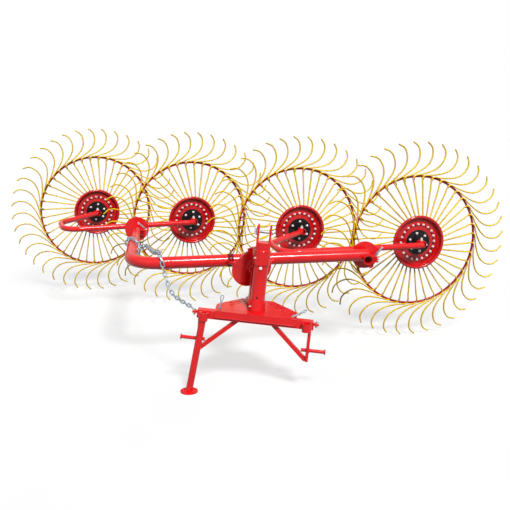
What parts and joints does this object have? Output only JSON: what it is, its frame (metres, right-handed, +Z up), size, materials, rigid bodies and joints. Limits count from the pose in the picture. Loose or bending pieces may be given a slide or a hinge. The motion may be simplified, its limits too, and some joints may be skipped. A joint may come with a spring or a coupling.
{
  "type": "rotary hay rake",
  "caption": "Mounted hay rake with tined star wheels on two rockers, a bent boom, a swivelling mast and a stand leg.",
  "frame": {"origin": "bottom centre of the bounding box, on the ground", "axes": "+X to the right along the hitch, +Y to the rear, +Z up"},
  "size_m": [3.9828, 2.6148, 1.4385],
  "materials": {
    "black_paint": "satin paint",
    "dark_red_paint": "gloss paint in shade",
    "red_paint": "gloss paint",
    "yellow_paint": "satin paint",
    "zinc": "zinc plated"
  },
  "bodies": {
    "hitch_frame": {"index_plate": "red_paint", "cross_beam": "red_paint", "mast_column": "red_paint", "mast_head": "red_paint", "top_link_pin": "zinc", "column_bolt": "zinc", "lower_bars": "red_paint", "lower_pins": "red_paint", "lower_braces": "red_paint", "stand_sleeves": "red_paint", "end_lugs": "red_paint"},
    "stand": {"stand_leg": "red_paint"},
    "swivel": {"swivel_sleeves": "red_paint", "swivel_post": "red_paint", "rock_pin": "red_paint", "lock_pin": "zinc"},
    "boom": {"boom_tube": "red_paint", "pivot_tubes": "red_paint", "pivot_discs": "red_paint", "rock_bearing": "red_paint", "boom_gussets": "red_paint"},
    "rocker_left": {"rocker_tube_left": "red_paint", "rocker_bearing_left": "red_paint", "wheel_axles_left": "red_paint"},
    "rocker_right": {"rocker_tube_right": "red_paint", "rocker_bearing_right": "red_paint", "wheel_axles_right": "red_paint"},
    "wheel_1": {"wheel_rim_1": "dark_red_paint", "wheel_dish_1": "red_paint", "wheel_hub_1": "black_paint", "wheel_tines_1": "yellow_paint"},
    "wheel_2": {"wheel_rim_2": "dark_red_paint", "wheel_dish_2": "red_paint", "wheel_hub_2": "black_paint", "wheel_tines_2": "yellow_paint"},
    "wheel_3": {"wheel_rim_3": "dark_red_paint", "wheel_dish_3": "red_paint", "wheel_hub_3": "black_paint", "wheel_tines_3": "yellow_paint"},
    "wheel_4": {"wheel_rim_4": "dark_red_paint", "wheel_dish_4": "red_paint", "wheel_hub_4": "black_paint", "wheel_tines_4": "yellow_paint"}
  },
  "joints": [
    {"name": "stand_slide", "type": "slide", "parent": "hitch_frame", "child": "stand", "axis": [0.1934, 0.0224, 0.9809], "range_m": [0, 0.2]},
    {"name": "swivel_turn", "type": "hinge", "parent": "hitch_frame", "child": "swivel", "pos_m": [0.20314, -1.12318, 0.48546], "axis": [0.0985, 0.0226, 0.9949], "range_deg": [-42.9, 17.1]},
    {"name": "boom_rock", "type": "hinge", "parent": "swivel", "child": "boom", "pos_m": [0.22628, -1.11787, 0.71926], "axis": [-0.2233, 0.9748, 0], "range_deg": [0, 11.6]},
    {"name": "rocker_left_tilt", "type": "hinge", "parent": "boom", "child": "rocker_left", "pos_m": [-0.79847, 0.24782, 0.71926], "axis": [-0.1513, 0.9885, 0], "range_deg": [-15, 15]},
    {"name": "wheel_1_spin", "type": "hinge", "parent": "rocker_left", "child": "wheel_1", "pos_m": [-1.3158, 1.03999, 0.71926], "axis": [-0.3567, 0.9342, 0], "continuous": true},
    {"name": "wheel_2_spin", "type": "hinge", "parent": "rocker_left", "child": "wheel_2", "pos_m": [-0.43749, 0.69652, 0.71926], "axis": [-0.3567, 0.9342, 0], "continuous": true},
    {"name": "rocker_right_tilt", "type": "hinge", "parent": "boom", "child": "rocker_right", "pos_m": [0.9099, -0.50581, 0.70526], "axis": [-0.0767, 0.9971, 0], "range_deg": [-15, 15]},
    {"name": "wheel_3_spin", "type": "hinge", "parent": "rocker_right", "child": "wheel_3", "pos_m": [0.45341, 0.32292, 0.71926], "axis": [-0.2857, 0.9583, 0], "continuous": true},
    {"name": "wheel_4_spin", "type": "hinge", "parent": "rocker_right", "child": "wheel_4", "pos_m": [1.3035, -0.08544, 0.71926], "axis": [-0.2857, 0.9583, 0], "continuous": true}
  ]
}
